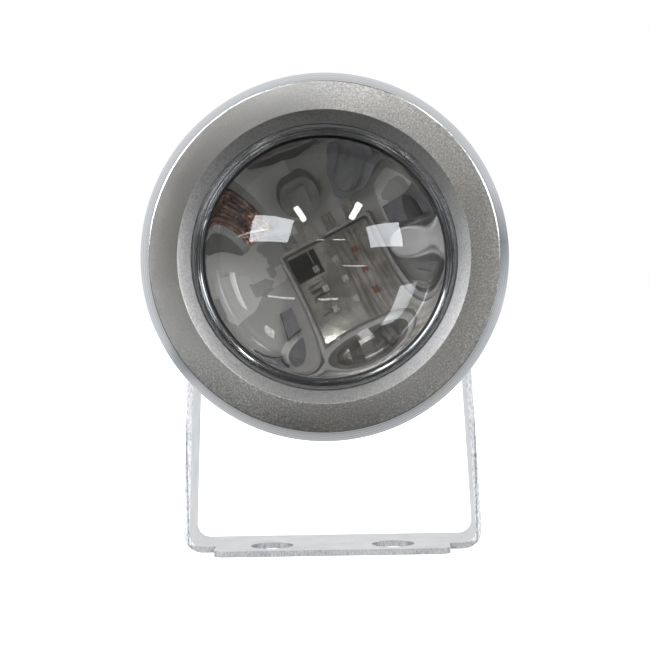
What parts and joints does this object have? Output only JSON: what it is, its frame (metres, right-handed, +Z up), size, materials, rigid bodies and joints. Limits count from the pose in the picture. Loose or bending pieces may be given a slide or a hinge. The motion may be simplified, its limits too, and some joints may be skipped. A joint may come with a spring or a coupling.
{
  "type": "underwater pool light",
  "caption": "Round underwater spotlight with a thick domed glass lens, screw-on aluminium front ring and finned housing, tilting in a U bracket with bolt holes.",
  "frame": {"origin": "midway between the two mounting holes, on the underside of the bracket's base", "axes": "+Z up, +X to the right of someone facing the lens, the lamp faces -Y"},
  "size_m": [0.115, 0.1004, 0.1533],
  "materials": {
    "ring_aluminium": "sandblasted face, bright machined bevel",
    "lens_glass": "clear polished",
    "black_rubber": "matt",
    "cast_aluminium": "sandblasted casting",
    "nylon": "natural",
    "stainless": "satin",
    "nickel_brass": "nickel plated",
    "grey_silicone": "matt",
    "circuit_board": "pale solder mask with dark traces",
    "silver_plate": "plated",
    "led_moulding": "moulded",
    "clear_silicone": "clear",
    "led_chip": "polished chip",
    "gold_wire": "bright",
    "black_epoxy": "moulded",
    "tinned": "tinned",
    "ferrite": "fired",
    "copper_wire": "enamelled copper",
    "can_aluminium": "bright",
    "ceramic_chip": "glazed",
    "ceramic_tan": "fired",
    "bracket_steel": "satin sheet, rough sheared edges"
  },
  "bodies": {
    "bracket": {"bracket": "bracket_steel"},
    "head": {"board_screws": "stainless", "capacitor_base": "black_epoxy", "capacitor_can": "can_aluminium", "ceramic_capacitors": "ceramic_tan", "choke": "ferrite", "coil_core": "ferrite", "coil_winding": "copper_wire", "controller_chip": "black_epoxy", "controller_pins": "tinned", "driver_transistors": "black_epoxy", "flat_washers": "stainless", "friction_washers": "nylon", "front_ring": "ring_aluminium", "gland_body": "nickel_brass", "gland_nut": "nickel_brass", "gland_seal": "black_rubber", "gland_washer": "black_rubber", "housing": "cast_aluminium", "ir_receiver": "black_epoxy", "led_base": "silver_plate", "led_board": "circuit_board", "led_bond_wires": "gold_wire", "led_cover": "clear_silicone", "led_dies": "led_chip", "led_frame": "led_moulding", "led_leads": "silver_plate", "lens": "lens_glass", "lens_front_gasket": "black_rubber", "lens_rear_seal": "black_rubber", "pivot_bolts": "stainless", "rectifier": "black_epoxy", "resistors": "ceramic_chip", "spring_washers": "stainless", "supply_posts": "tinned", "thermal_pad": "grey_silicone"}
  },
  "joints": [
    {"name": "head_tilt", "type": "hinge", "parent": "bracket", "child": "head", "pos_m": [0, 0.0115, 0.0958], "axis": [-1, 0, 0], "range_deg": [-15, 90]}
  ]
}
